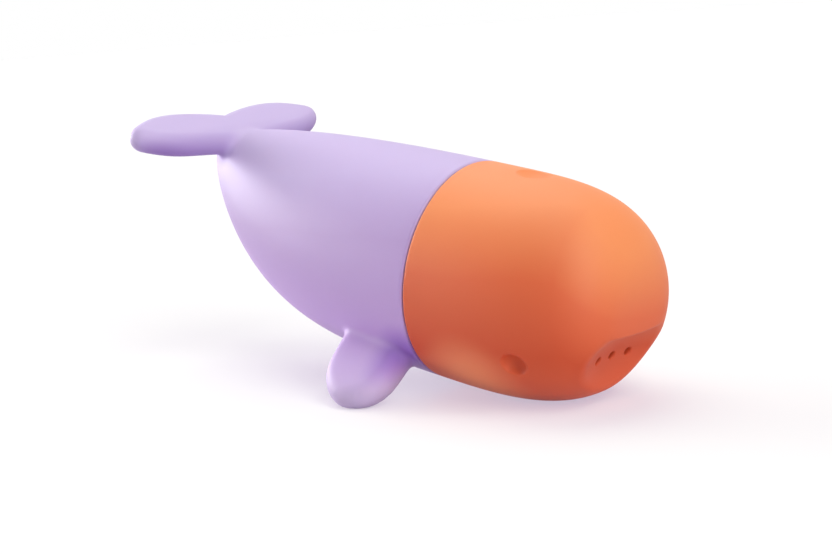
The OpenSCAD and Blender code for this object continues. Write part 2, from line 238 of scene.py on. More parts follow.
def tail_field(p):
    """Distance to the tail body: its outer form with lobes, less the room and the bore inside."""
    x = p[:, 0]
    body = lofted(tail_section, p, 0, -TAIL_LEN)
    body = smooth_max(body, -x - TAIL_LEN + TAIL_BLUNT, TAIL_BLUNT_ROUND)
    outer = smooth_min(body, only_near(p, *FLUKE_BOX, fluke_distance), ROOT_FILLET)
    for side in (-1, 1):
        outer = smooth_min(outer, only_near(p * [1, side, 1], *FIN_BOX, fin_distance), ROOT_FILLET)
    hollow = lofted(tail_section, p, TAIL_WALL, TAIL_WALL - TAIL_LEN)
    hollow = smooth_max(hollow, x + SLEEVE_LEN, HOLLOW_MOUTH_ROUND)
    hollow = smooth_max(hollow, -HOLLOW_LEN - x, HOLLOW_END_ROUND)
    bore = np.maximum(np.hypot(p[:, 1], p[:, 2]) - SLEEVE_BORE_R, -x - SLEEVE_LEN)
    outer = smooth_max(outer, x + HALF_GAP + RIM_BACK, RIM_ROUND)
    outer = smooth_max(outer, -np.minimum(hollow, bore), RIM_ROUND)
    return smooth_max(outer, under_floor(p), STAND_ROUND)


FIELD_BATCH, FIRST_ROUNDS, FINE_ROUNDS, PLAIN_ROUNDS = 300000, 7, 5, 2
EVEN_SHARE, LONGEST_MOVE, PROBE, LEAST_STEEP = 0.5, 0.8, 0.02, 1e-6


def cells_around(place, axis):
    """The four grid cells around each place where the grid crosses the surface along an axis."""
    u, v = [n for n in range(3) if n != axis]
    for du, dv in ((0, 0), (1, 0), (1, 1), (0, 1)):
        cell = place.copy()
        cell[:, u] -= du
        cell[:, v] -= dv
        yield tuple(cell.T)


def grown(name, field, box, step):
    """A mesh of quads around all places where the field is below zero, with one point in each cell that it crosses."""
    axes = [np.arange(low, high + step, step) for low, high in zip(*box)]
    shape = [len(a) for a in axes]
    grid = np.stack(np.meshgrid(*axes, indexing="ij"), -1).reshape(-1, 3)
    batches = np.array_split(grid, max(1, len(grid) // FIELD_BATCH))
    f = np.concatenate([field(batch) for batch in batches]).reshape(shape)
    inside = f < 0
    cells = [n - 1 for n in shape]
    total, count = np.zeros(cells + [3]), np.zeros(cells)
    crossings = []
    for axis in range(3):
        here, there = [slice(None)] * 3, [slice(None)] * 3
        here[axis], there[axis] = slice(None, -1), slice(1, None)
        here, there = tuple(here), tuple(there)
        crossed = inside[here] != inside[there]
        place = np.argwhere(crossed)
        point = place.astype(float)
        point[:, axis] += f[here][crossed] / (f[here][crossed] - f[there][crossed])
        crossings.append((axis, place, inside[here][crossed]))
        for cell in cells_around(place, axis):
            np.add.at(total, cell, point)
            np.add.at(count, cell, 1)
    used = count > 0
    index = np.full(used.shape, -1)
    index[used] = np.arange(used.sum())
    vertices = total[used] / count[used][:, None] * step + np.array([a[0] for a in axes])
    faces = []
    for axis, place, solid_first in crossings:
        quad = np.stack([index[cell] for cell in cells_around(place, axis)], 1)
        flip = solid_first if axis == 1 else ~solid_first  # around y, the cells come in the other turn
        quad[flip] = quad[flip][:, ::-1]
        faces.append(quad)
    mesh = bpy.data.meshes.new(name)
    mesh.from_pydata(vertices, [], np.concatenate(faces))
    return mesh


def places(mesh):
    co = np.empty(len(mesh.vertices) * 3)
    mesh.vertices.foreach_get("co", co)
    return co.reshape(-1, 3)


def settle(mesh, field, rounds, near=None):
    """Evens out the mesh, or its part near some place, and draws it onto the field's zero surface."""
    p = places(mesh)
    edges = np.empty(len(mesh.edges) * 2, int)
    mesh.edges.foreach_get("vertices", edges)
    i, j = edges.reshape(-1, 2).T
    ends = np.bincount(np.concatenate([i, j]), minlength=len(p))[:, None]
    chosen = np.arange(len(p)) if near is None else np.flatnonzero(near(p))
    for k in range(rounds):
        if k < rounds - PLAIN_ROUNDS:
            sums = np.stack([
                np.bincount(i, p[j, n], len(p)) + np.bincount(j, p[i, n], len(p)) for n in range(3)], 1)
            p[chosen] += EVEN_SHARE * (sums / ends - p)[chosen]
        q = p[chosen]
        f = field(q)
        slope = np.stack([
            (field(q + PROBE * unit) - field(q - PROBE * unit)) / (2 * PROBE) for unit in np.eye(3)], 1)
        steep = (slope ** 2).sum(1) + LEAST_STEEP
        move = np.clip(f / np.sqrt(steep), -LONGEST_MOVE, LONGEST_MOVE) / np.sqrt(steep)
        p[chosen] = q - slope * move[:, None]
    mesh.vertices.foreach_set("co", p.ravel())


def refine(mesh, near):
    """Cuts the faces in the chosen places in four."""
    bm = bmesh.new()
    bm.from_mesh(mesh)
    mask = near(np.array([v.co for v in bm.verts]))
    bm.verts.ensure_lookup_table()
    chosen = [e for e in bm.edges if mask[e.verts[0].index] and mask[e.verts[1].index]]
    bmesh.ops.subdivide_edges(bm, edges=chosen, cuts=1, use_grid_fill=True)
    bmesh.ops.triangulate(bm, faces=[f for f in bm.faces if len(f.verts) > 4])
    bm.to_mesh(mesh)
    bm.free()


def moulded(name, mesh):
    """A finished mesh as a smooth piece, stood in its place."""
    mesh.vertices.foreach_set("co", stood(places(mesh)).ravel())
    mesh.polygons.foreach_set("use_smooth", [True] * len(mesh.polygons))
    mesh.update()
    piece = bpy.data.objects.new(name, mesh)
    scene.collection.objects.link(piece)
    return piece


TAIL_BOX, TAIL_GRID = ((-119, -43, -40), (3, 43, 50)), 1.0
RIM_CUT, RIM_SETTLED = -1.6, -2.2
tail_mesh = grown("tail_skin", tail_field, TAIL_BOX, TAIL_GRID)
settle(tail_mesh, tail_field, FIRST_ROUNDS)
refine(tail_mesh, lambda p: p[:, 0] > RIM_CUT)
settle(tail_mesh, tail_field, FINE_ROUNDS, lambda p: p[:, 0] > RIM_SETTLED)
tail_skin = moulded("tail_skin", tail_mesh)


class Value:
    """A node's output that can be used in sums."""

    def __init__(self, nodes, socket):
        self.nodes, self.socket = nodes, socket

    def sum(self, operation, first, second):
        return self.nodes.node("ShaderNodeMath", {"operation": operation}, {0: first, 1: second})

    def __add__(self, other):
        return self.sum("ADD", self, other)

    def __sub__(self, other):
        return self.sum("SUBTRACT", self, other)

    def __rsub__(self, other):
        return self.sum("SUBTRACT", other, self)

    def __mul__(self, other):
        return self.sum("MULTIPLY", self, other)

    def at_least(self, other):
        return self.sum("MAXIMUM", self, other)

    __radd__, __rmul__ = __add__, __mul__


class Nodes:
    """A node tree that is filled node by node."""

    def __init__(self, tree):
        self.tree = tree

    def node(self, kind, settings, sockets, output=0):
        """A new node with its settings and with the values or links of its sockets."""
        node = self.tree.nodes.new(kind)
        for key, value in settings.items():
            if key == "stops":
                for _ in value[2:]:
                    node.color_ramp.elements.new(0.5)
                for element, (at, colour) in zip(node.color_ramp.elements, value):
                    element.position, element.color = at, (*colour, 1)
            else:
                setattr(node, key, value)
        for key, value in sockets.items():
            self.fill(node.inputs[key], value)
        return Value(self, node.outputs[output]) if node.outputs else None

    def fill(self, socket, value):
        """Links a value to a socket or writes it there, a colour as an opaque one."""
        if isinstance(value, Value):
            self.tree.links.new(value.socket, socket)
        else:
            socket.default_value = (*value, 1) if socket.type == "RGBA" else value


class Finish(Nodes):
    """A material with one surface, whose patterns follow the place on the piece."""

    def __init__(self, name):
        self.material = bpy.data.materials.new(name)
        self.material.use_nodes = True
        super().__init__(self.material.node_tree)
        self.surface = self.tree.nodes["Principled BSDF"]
        self.place = self.node("ShaderNodeTexCoord", {}, {}, "Object")

    def noise(self, scale, detail=2.0, rough=0.5):
        return self.node("ShaderNodeTexNoise", {}, {
            "Vector": self.place, "Scale": scale, "Detail": detail, "Roughness": rough})

    def ramp(self, stops, value):
        return self.node("ShaderNodeValToRGB", {"stops": stops}, {0: value})

    def bump(self, strength, depth, height):
        return self.node("ShaderNodeBump", {}, {"Strength": strength, "Distance": depth, "Height": height}, "Normal")

    def set(self, **sockets):
        """Gives the surface its values and returns the material."""
        for key, value in sockets.items():
            self.fill(self.surface.inputs[key.replace("_", " ")], value)
        return self.material


# Shares that set how the painted shading follows height and the nose, how much random tone it takes, and the painted
# patches' shape.
HEIGHT_SHARE, LENGTH_SHARE, NOSE_FROM, CLOUD_SHARE, PATCH_LENGTH = 12, 16, 1.2, 0.06, 1.5
CLOUD_SCALE, GRAIN_SCALE, WAVE_SCALE, WAVE_SHARE = 45.0, 2600.0, 110.0, 0.35


def soft_touch(name, stops, painted_patches):
    """A soft-touch skin with a fine matte grain and a faint random tone. Its colour also carries painted light and
    shade: it changes with height, lightens towards the nose and takes painted patches.
    """
    finish = Finish(name)
    ahead, height = (finish.node("ShaderNodeSeparateXYZ", {}, {0: finish.place}, output) for output in (0, 2))
    clouds = finish.noise(CLOUD_SCALE, detail=3.0)
    grain = finish.noise(GRAIN_SCALE, detail=2.0, rough=0.6)
    waves = finish.noise(WAVE_SCALE, detail=1.0)
    # Painted light and shade: the colour follows height, moves towards the lighter stops near the nose, and takes a
    # little random tone.
    painted_nose_light = (ahead * LENGTH_SHARE - NOSE_FROM).at_least(0)
    pigment_and_painted_shading = finish.ramp(stops, height * HEIGHT_SHARE + painted_nose_light + clouds * CLOUD_SHARE)
    # Painted patches of shade or light, each a soft oval in the side view.
    for at, level, size, tone in painted_patches:
        along, rise = (ahead - at) * (1 / size), (height - level) * (1 / size)
        patch = (1 - along * along - rise * rise * PATCH_LENGTH).at_least(0)
        pigment_and_painted_shading = finish.node("ShaderNodeMix", {"data_type": "RGBA"}, {0: patch * patch, 6: pigment_and_painted_shading, 7: tone}, 2)
    return finish.set(
        Base_Color=pigment_and_painted_shading, Roughness=0.5 + clouds * 0.08, Specular_IOR_Level=0.3,
        Normal=finish.bump(strength=0.12, depth=0.00012, height=grain + waves * WAVE_SHARE),
        Subsurface_Weight=0.12, Subsurface_Radius=(1.0, 0.6, 0.5), Subsurface_Scale=0.003)


# Painted shade: the lavender is darkest a little over half way up and lighter at the bottom and the top. The patches
# are painted shade, low behind the joint between the fin and the head, and under the flukes' front edges.
LAVENDER_PAINTED_SHADING_STOPS = [
    (0.08, (0.53, 0.42, 0.645)), (0.28, (0.52, 0.345, 0.68)),
    (0.62, (0.44, 0.31, 0.57)), (0.82, (0.52, 0.415, 0.67))]
LAVENDER_PAINTED_SHADE_PATCHES = [(0.0205, 0.015, 0.013, (0.31, 0.16, 0.56)), (-0.073, 0.0725, 0.0095, (0.28, 0.165, 0.46))]
tail_skin.data.materials.append(soft_touch("lavender_soft_touch", LAVENDER_PAINTED_SHADING_STOPS, LAVENDER_PAINTED_SHADE_PATCHES))
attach(tail_skin, "tail")
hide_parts("tail_shell")

# Neck collar. A rigid off-white plastic moulding that is pressed into the tail's
# mouth up to its step. The head cap slides onto its spigot, a groove holds the
# seal, and the key on top lines the two halves up.
SPIGOT_R, SPIGOT_LEN, COLLAR_BORE_R, SLEEVE_R = 25.0, 15.0, 21.4, 27.45
KEY_LEN, KEY_HALF, KEY_TOP, KEY_END_SLOPE, KEY_ROOT = 6.0, 2.0, 26.2, 0.4, 0.005
GROOVE, GROOVE_R, COLLAR_EDGE = (8.3, 10.7), 23.0, 0.35
CORNER_STEPS, LONGEST_CORNER, GUARD = 3, 0.24, 1.8
ROUND_SIDES, KEY_SIDES, KEY_WALL = 140, 5, 0.002


def eased(corners, ease):
    """A closed outline whose corners are rounded a little, with a point just before and after each."""
    points = []
    for i, corner in enumerate(corners):
        here, before, after = (np.array(corners[j % len(corners)], float) for j in (i, i - 1, i + 1))
        a, b = before - here, after - here
        la, lb = np.linalg.norm(a), np.linalg.norm(b)
        reach = min(ease, LONGEST_CORNER * la, LONGEST_CORNER * lb)
        start, end = here + a / la * reach, here + b / lb * reach
        points.append(here + a / la * reach * GUARD)
        points += [start * (1 - t) ** 2 + here * 2 * t * (1 - t) + end * t ** 2
                   for t in np.linspace(0, 1, CORNER_STEPS + 1)]
        points.append(here + b / lb * reach * GUARD)
    return np.array(points)


def closed_outward(mesh):
    """Merges a mesh's double points and turns its faces outwards."""
    bm = bmesh.new()
    bm.from_mesh(mesh)
    bmesh.ops.remove_doubles(bm, verts=bm.verts, dist=0.0001)
    bmesh.ops.recalc_face_normals(bm, faces=bm.faces)
    bm.to_mesh(mesh)
    bm.free()


def turned_mesh(name, outlines, angles):
    """A round mesh: a closed outline of (along, radius) at each angle around the axis."""
    count, sides = len(outlines[0]), len(angles)
    rings = [np.stack([o[:, 0], o[:, 1] * math.cos(a), o[:, 1] * math.sin(a)], 1) for o, a in zip(outlines, angles)]
    faces = []
    for i in range(sides):
        here, there = i * count, (i + 1) % sides * count
        faces += [(here + j, there + j, there + (j + 1) % count, here + (j + 1) % count) for j in range(count)]
    mesh = bpy.data.meshes.new(name)
    mesh.from_pydata(np.concatenate(rings), [], faces)
    closed_outward(mesh)
    return mesh


def keyed_turn(name, plain, keyed, half_width, radius):
    """A round piece with a key, or a keyway, along its top."""
    top, half = math.pi / 2, math.asin(half_width / radius)
    round_part = np.linspace(top + half + KEY_WALL, top + math.tau - half - KEY_WALL, ROUND_SIDES)
    key_part = np.linspace(top - half, top + half, KEY_SIDES)
    outlines = [plain] * ROUND_SIDES + [keyed] * KEY_SIDES
    return moulded(name, turned_mesh(name, outlines, np.concatenate([round_part, key_part])))


FLOW_SCALE, TOOL_SCALE, DULL_SHARE = 70.0, 1900.0, 0.93


def moulded_plastic(name, colour, rough, grain_depth, gloss=0.0):
    """A hard moulding: faint flow clouds in the colour and a fine tool grain."""
    finish = Finish(name)
    clouds = finish.noise(FLOW_SCALE, detail=3.0)
    grain = finish.noise(TOOL_SCALE, detail=2.0, rough=0.6)
    dull = [DULL_SHARE * c for c in colour]
    return finish.set(
        Base_Color=finish.ramp([(0.3, dull), (0.7, colour)], clouds), Roughness=rough + clouds * 0.1,
        Normal=finish.bump(strength=0.15, depth=grain_depth, height=grain),
        IOR=1.5, Coat_Weight=gloss, Coat_Roughness=0.12)


def carried(piece, finish, node, body):
    """A piece that stands for a CAD node and rides where it does."""
    if not piece.data.materials:
        piece.data.materials.append(finish)
    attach(piece, body)
    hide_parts(node)


def collar_outline(top):
    """The collar's section, from its sleeve over its step and groove to the spigot's end."""
    return eased([
        (-SLEEVE_LEN, COLLAR_BORE_R), (-SLEEVE_LEN, SLEEVE_R), (0, SLEEVE_R), (0, top), (KEY_LEN, top),
        (KEY_LEN + KEY_END_SLOPE, SPIGOT_R), (GROOVE[0], SPIGOT_R), (GROOVE[0], GROOVE_R), (GROOVE[1], GROOVE_R),
        (GROOVE[1], SPIGOT_R), (SPIGOT_LEN, SPIGOT_R), (SPIGOT_LEN, COLLAR_BORE_R)], COLLAR_EDGE)


satin_white = moulded_plastic("satin_off_white", (0.80, 0.80, 0.83), rough=0.38, grain_depth=0.00006)
collar = keyed_turn(
    "collar_moulding", collar_outline(SPIGOT_R + KEY_ROOT), collar_outline(KEY_TOP), KEY_HALF, KEY_TOP)
carried(collar, satin_white, "neck_collar", "tail")

# Collar seal. A soft dark grey rubber ring that sits in the spigot's groove and
# keeps the joint watertight by its squeeze against the head's ring.
SEAL_AHEAD, SEAL_R, SEAL_LINE_R, SEAL_SIDES, CORD_SIDES = 9.5, 1.0, 24.025, 160, 24
BLOOM_SCALE, RUBBER_GRAIN_SCALE = 260.0, 3200.0


def all_round(sides):
    """Angles at even steps once around."""
    return np.linspace(0, math.tau, sides, endpoint=False)


cord = all_round(CORD_SIDES)
seal_outline = np.stack([SEAL_AHEAD + SEAL_R * np.cos(cord), SEAL_LINE_R + SEAL_R * np.sin(cord)], 1)
rubber = Finish("seal_rubber")
bloom = rubber.noise(BLOOM_SCALE, detail=3.0)
rubber_grain = rubber.noise(RUBBER_GRAIN_SCALE)
rubber.set(
    Base_Color=rubber.ramp([(0.3, (0.085, 0.08, 0.105)), (0.75, (0.125, 0.12, 0.15))], bloom),
    Roughness=0.42 + bloom * 0.2, Normal=rubber.bump(strength=0.2, depth=0.00005, height=rubber_grain), IOR=1.5)
seal = moulded("seal_cord", turned_mesh("seal_cord", [seal_outline] * SEAL_SIDES, all_round(SEAL_SIDES)))
carried(seal, rubber.material, "collar_seal", "tail")

# Head ring. A rigid ring of the collar's plastic, held in the head cap's rim, that
# keeps the soft rim round and runs on the spigot. A keyway on top takes the key.
RING_R, KEYWAY_HALF, KEYWAY_TOP, RIM_LEN, RING_EDGE = 25.05, 2.15, 26.5, 12.0, 0.3


def ring_outline(inner):
    """The ring's section, with its inner face at a radius."""
    return eased([(HALF_GAP, inner), (HALF_GAP, SLEEVE_R), (RIM_LEN, SLEEVE_R), (RIM_LEN, inner)], RING_EDGE)


ring = keyed_turn("ring_moulding", ring_outline(RING_R), ring_outline(KEYWAY_TOP), KEYWAY_HALF, KEYWAY_TOP)
carried(ring, satin_white, "head_ring", "head")

# Head cap. A thick, soft orange moulding pulled onto the tail's collar, with an eye
# dimple on each side, a blowhole dish and a mouth hollow with three holes under its
# lip. The wall there carries the squeaker's socket and gives way when it is pressed.
HEAD_LEN, NOSE_DROP, HEAD_WALL, NOSE_BLUNT = 60.0, 2.5, 3.4, 0.25
HEAD_BOWS = (4.5, 2.6), (3.2, 2.4), (3.6, 3.2)
NOSE_ROUND, INNER_ROUND, WALL_ROUND, HEAD_RIM_ROUND = 1.0, 1.0, 0.5, 0.7
HOLE_AT, HOLE_PITCH, HOLE_R, HOLE_ROUND = np.array([51.5403, -13.407]), 7.0, 1.2, 0.6
HOLE_LINES = (-HOLE_PITCH, 0, HOLE_PITCH)


def head_section(x, wall):
    return half_section(x, wall, HEAD_LEN, -NOSE_DROP, HEAD_BOWS)


# The mouth's hollow is a round face from the lip to the jaw. Its edge is sharp at the lip and soft elsewhere.
LIP, JAW, LIP_DROP, LIP_ROUND = np.array([56.6388, -5.3]), np.array([51.0, -23.389]), 5.3, 0.5
MOUTH_R, MOUTH_SIDE_R, MOUTH_WALL = 19.5, 50.0, 2.6
MOUTH_EDGE, MOUTH_SOFTER, SOFT_UNDER, SOFT_DROP, SOFT_ASIDE, SOFT_WIDTH = 0.6, 0.9, 1, 8, 4, 10
mouth_out = np.array([LIP[1] - JAW[1], JAW[0] - LIP[0]]) / np.linalg.norm(LIP - JAW)
MOUTH_CENTRE = (LIP + JAW) / 2 + mouth_out * math.sqrt(MOUTH_R ** 2 - np.sum((LIP - JAW) ** 2) / 4)


def mouth_distance(p, wall):
    """The mouth's hollow: a round face that fades out to the sides, under a lip."""
    from_centre = np.hypot(p[:, 0] - MOUTH_CENTRE[0], p[:, 2] - MOUTH_CENTRE[1])
    d = from_centre - (MOUTH_R + wall - p[:, 1] ** 2 / MOUTH_SIDE_R / 2)
    return smooth_max(d, p[:, 2] + LIP_DROP - wall, LIP_ROUND)


def mouth_edge(p):
    """The rounding of the mouth's edge at each place."""
    soft = np.maximum((-LIP_DROP - SOFT_UNDER - p[:, 2]) / SOFT_DROP, (np.abs(p[:, 1]) - SOFT_ASIDE) / SOFT_WIDTH)
    return MOUTH_EDGE + MOUTH_SOFTER * np.clip(soft, 0, 1)


# The socket, which holds the squeaker's case on the holes' line: a drum's start, end and radius for each step.
VOICE = math.radians(17)
VOICE_OUT, VOICE_UP = np.array([math.cos(VOICE), -math.sin(VOICE)]), np.array([math.sin(VOICE), math.cos(VOICE)])
SEAT_BACK, SOCKET_LEN, CASE_R, BORE_R, FLANGE_OVER, FLANGE_T = 3.8, 8.0, 10.0, 8.8, 1.4, 1.6
AIR_GAP, PLAY, SOCKET_WALL, STEP_OVER, STEP_IN = 1.2, 0.1, 2.6, 1, 0.8
SOCKET_STEPS = (
    (SEAT_BACK - AIR_GAP, SEAT_BACK + STEP_OVER, BORE_R),
    (SEAT_BACK, SEAT_BACK + FLANGE_T + PLAY, CASE_R + FLANGE_OVER + PLAY),
    (SEAT_BACK + STEP_IN, SEAT_BACK + SOCKET_LEN + STEP_OVER, CASE_R + PLAY))


def voice_places(p):
    """Depth behind the mouth's face and height over the squeaker's axis."""
    q = p[:, [0, 2]] - HOLE_AT
    return -(q @ VOICE_OUT), q @ VOICE_UP


def drum(behind, radius, start, end, r):
    return np.maximum(np.maximum(start - behind, behind - end), radius - r)


# The dishes: each is cut by a ball, to a width and a depth.
EYE_AHEAD, EYE_DROP, EYE_WIDTH, EYE_DEPTH = 37.5, 14.5, 8.0, 2.5
BLOW_AHEAD, BLOW_WIDTH, BLOW_DEPTH, DISH_EDGE = 21.0, 11.2, 2.0, 0.2


def eye_place(side):
    """An eye's place on the surface and its outward direction."""
    mid, high, wide = (float(v) for v in head_section(np.array(EYE_AHEAD), 0))
    out = math.asin((-EYE_DROP - mid) / high)
    place = np.array([EYE_AHEAD, side * wide * math.cos(out), -EYE_DROP])
    return place, np.array([0, side * math.cos(out), math.sin(out)])


def dish_distance(p, at, outward, width, depth):
    """A ball that cuts a dish of that width and depth into the surface at a point."""
    r = ((width / 2) ** 2 + depth ** 2) / depth / 2
    return np.linalg.norm(p - (at + outward * (r - depth)), axis=1) - r


blow_mid, blow_high, _ = head_section(np.array(BLOW_AHEAD), 0)
BLOW_AT = np.array([BLOW_AHEAD, 0, float(blow_mid) + float(blow_high)])
EYES = [eye_place(side) for side in (-1, 1)]


def head_field(p):
    """Distance to the head cap: its outer form, less the room inside, the mouth, the holes and the dishes."""
    x = p[:, 0]
    behind, across = voice_places(p)
    radius = np.hypot(across, p[:, 1])
    outer = smooth_max(lofted(head_section, p, 0, HEAD_LEN), x - HEAD_LEN + NOSE_BLUNT, NOSE_ROUND)
    hollow = np.maximum(lofted(head_section, p, HEAD_WALL, HEAD_LEN - HEAD_WALL), RIM_LEN - x)
    hollow = smooth_max(hollow, -mouth_distance(p, MOUTH_WALL), INNER_ROUND)
    socket = drum(behind, radius, 0, SEAT_BACK + SOCKET_LEN, CASE_R + FLANGE_OVER + SOCKET_WALL)
    hollow = smooth_max(hollow, -socket, INNER_ROUND)
    hollow = np.minimum(hollow, np.maximum(np.hypot(p[:, 1], p[:, 2]) - SLEEVE_BORE_R, x - RIM_LEN))
    for start, end, r in SOCKET_STEPS:
        hollow = np.minimum(hollow, drum(behind, radius, start, end, r))
    body = smooth_max(outer, -hollow, WALL_ROUND)
    body = smooth_max(body, -mouth_distance(p, 0), mouth_edge(p))
    for line in HOLE_LINES:
        hole = np.maximum(np.hypot(across, p[:, 1] - line) - HOLE_R, behind - SEAT_BACK)
        body = smooth_max(body, -hole, HOLE_ROUND)
    for at, outward in EYES:
        body = smooth_max(body, -dish_distance(p, at, outward, EYE_WIDTH, EYE_DEPTH), DISH_EDGE)
    body = smooth_max(body, -dish_distance(p, BLOW_AT, np.array([0, 0, 1.0]), BLOW_WIDTH, BLOW_DEPTH), DISH_EDGE)
    body = smooth_max(body, HALF_GAP - x, HEAD_RIM_ROUND)
    return smooth_max(body, under_floor(p), STAND_ROUND)


# Where the head's mesh is finer: the rim, the dishes and the mouth, and finer again in the holes.
FINE_RIM, FINE_BLOW, FINE_EYE, FINE_FACE_DEPTH = 1.6, 8, 6, 1.6
FINE_FACE = [44, -20, -28], [HEAD_LEN, 20, -2]
FINE_HOLE_R, FINE_HOLE_DEPTH = 2.4, 4.5


def within(p, at, r):
    return np.linalg.norm(p - at, axis=1) < r


def head_details(p):
    """The rim, the dishes' edges and the mouth."""
    behind, _ = voice_places(p)
    face = np.all((p > FINE_FACE[0]) & (p < FINE_FACE[1]), 1) & (behind < FINE_FACE_DEPTH)
    eyes = within(p, EYES[0][0], FINE_EYE) | within(p, EYES[1][0], FINE_EYE)
    return (p[:, 0] < FINE_RIM) | within(p, BLOW_AT, FINE_BLOW) | eyes | face


def holes_near(p):
    """The holes' walls and edges."""
    behind, across = voice_places(p)
    aside = np.min([np.abs(p[:, 1] - line) for line in HOLE_LINES], 0)
    return (np.hypot(across, aside) < FINE_HOLE_R) & (behind < FINE_HOLE_DEPTH)


HEAD_BOX, HEAD_GRID = ((-2, -34, -37), (64, 34, 36)), 0.8
head_mesh = grown("head_skin", head_field, HEAD_BOX, HEAD_GRID)
settle(head_mesh, head_field, FIRST_ROUNDS)
for near in (head_details, holes_near):
    refine(head_mesh, near)
    settle(head_mesh, head_field, FINE_ROUNDS, near)
head_skin = moulded("head_skin", head_mesh)
# Painted light and shade: the orange is darkest in a band low on the head, lighter at the chin, and lightest and
# yellowest at the top. The patch is painted light, a pale warm glow low on the head near the joint, as if thrown up
# from the floor.
ORANGE_PAINTED_SHADING_STOPS = [
    (0.06, (0.74, 0.125, 0.050)), (0.25, (0.62, 0.083, 0.026)),
    (0.5, (0.69, 0.134, 0.050)), (0.72, (0.82, 0.265, 0.095))]
ORANGE_PAINTED_LIGHT_PATCHES = [(0.043, 0.009, 0.020, (0.86, 0.26, 0.115))]
head_skin.data.materials.append(soft_touch("orange_soft_touch", ORANGE_PAINTED_SHADING_STOPS, ORANGE_PAINTED_LIGHT_PATCHES))
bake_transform(head_skin)
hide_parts("head_shell")

# Squeaker case. A thin white plastic cup whose front flange snaps into the soft
# socket behind the mouth. The air that sounds the reed leaves by its front hole.
CASE_LEN, OUTLET_R, CASE_EDGE, CASE_SIDES = 18.0, 3.0, 0.25, 96
CASE_FRONT = CASE_LEN - FLANGE_T


def on_voice(points):
    """Places given from the case's back end towards the mouth, to the side and up."""
    along, side, high = np.asarray(points, float).reshape(-1, 3).T
    flat = HOLE_AT + np.outer(along - SEAT_BACK - CASE_LEN, VOICE_OUT) + np.outer(high, VOICE_UP)
    return np.stack([flat[:, 0], side, flat[:, 1]], 1)


def on_voice_mesh(name, mesh):
    """A mesh that is drawn on the case's axis as a piece in its place."""
    mesh.vertices.foreach_set("co", on_voice(places(mesh)).ravel())
    return moulded(name, mesh)


gloss_white = moulded_plastic("gloss_white", (0.82, 0.82, 0.79), rough=0.22, grain_depth=0.00003, gloss=0.3)
case_outline = eased([
    (0, BORE_R), (0, CASE_R), (CASE_FRONT, CASE_R), (CASE_FRONT, CASE_R + FLANGE_OVER),
    (CASE_LEN, CASE_R + FLANGE_OVER), (CASE_LEN, OUTLET_R), (CASE_FRONT, OUTLET_R), (CASE_FRONT, BORE_R)], CASE_EDGE)
case_mesh = turned_mesh("case_moulding", [case_outline] * CASE_SIDES, all_round(CASE_SIDES))
carried(on_voice_mesh("case_moulding", case_mesh), gloss_white, "squeaker_case", "squeaker")

# Reed block and wedge. The block's disc is pressed into the case and its grooved
# tongue faces the mouth. The wedge clamps the reed's end in the disc's slot.
for name in ("reed_block", "reed_wedge"):
    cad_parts[name].material_slots[0].material = gloss_white

# Reed. A strip of rolled brass that lies over the tongue's channel and beats
# against it as the air goes past. Its free end has round corners and curls up.
REED_AT, REED_LEN, REED_HALF, REED_T, REED_LIFT = 3.9, 11.04, 2.2, 0.25, 0.9
CLAMPED, BEND_LEN, REED_CURL, REED_CORNER, REED_EDGE = 3.4, 1.5, 0.22, 1.2, 0.2
STRIP_RINGS, CORNER_RINGS, CORNER_TURN = 18, 7, (0.2, 1.5)
ROLL_SCALE, ROLL_STRETCH = 420.0, (1, 14, 14)


def reed_mesh():
    """The strip as rings of eight points from its clamped end to its free end."""
    last = REED_LEN - REED_CORNER
    into_corner = last + REED_CORNER * np.sin(np.linspace(*CORNER_TURN, CORNER_RINGS))
    reach = np.concatenate([np.linspace(0, last, STRIP_RINGS), into_corner])
    half = REED_HALF - REED_CORNER * (1 - np.sqrt(1 - (np.maximum(reach - last, 0) / REED_CORNER) ** 2))
    curl = REED_CURL * (np.maximum(reach - CLAMPED, 0) / (REED_LEN - CLAMPED)) ** 2
    edge = REED_T * REED_EDGE
    rings = []
    for along, side, rise in zip(REED_AT + reach, half, REED_LIFT + curl):
        top = rise + REED_T
        rings.append([(along, y, z) for y, z in (
            (-side + edge, rise), (side - edge, rise), (side, rise + edge), (side, top - edge),
            (side - edge, top), (-side + edge, top), (-side, top - edge), (-side, rise + edge))])
    corners = len(rings[0])
    last_ring = (len(rings) - 1) * corners
    faces = []
    for here in range(0, last_ring, corners):
        there = here + corners
        faces += [(here + j, here + (j + 1) % corners, there + (j + 1) % corners, there + j) for j in range(corners)]
    faces += [tuple(range(corners)), tuple(range(last_ring + corners - 1, last_ring - 1, -1))]
    mesh = bpy.data.meshes.new("reed_strip")
    mesh.from_pydata(np.array(rings).reshape(-1, 3), [], faces)
    closed_outward(mesh)
    return mesh


brass = Finish("rolled_brass")
rolled_way = brass.node("ShaderNodeMapping", {}, {
    "Vector": brass.place, "Rotation": (0, VOICE + PITCH, 0), "Scale": ROLL_STRETCH})
rolled = brass.node("ShaderNodeTexNoise", {}, {"Vector": rolled_way, "Scale": ROLL_SCALE, "Detail": 3.0})
brass.set(
    Base_Color=brass.ramp([(0.25, (0.52, 0.35, 0.12)), (0.8, (0.72, 0.52, 0.21))], rolled), Metallic=1.0,
    Roughness=0.24 + rolled * 0.16, Normal=brass.bump(strength=0.25, depth=0.00003, height=rolled))
reed = on_voice_mesh("reed_strip", reed_mesh())
reed.data.materials.append(brass.material)
bend_start, bend_end = stood(on_voice([
    (REED_AT + CLAMPED, 0, REED_LIFT), (REED_AT + CLAMPED + BEND_LEN, 0, REED_LIFT)]))
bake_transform(reed)
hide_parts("reed")

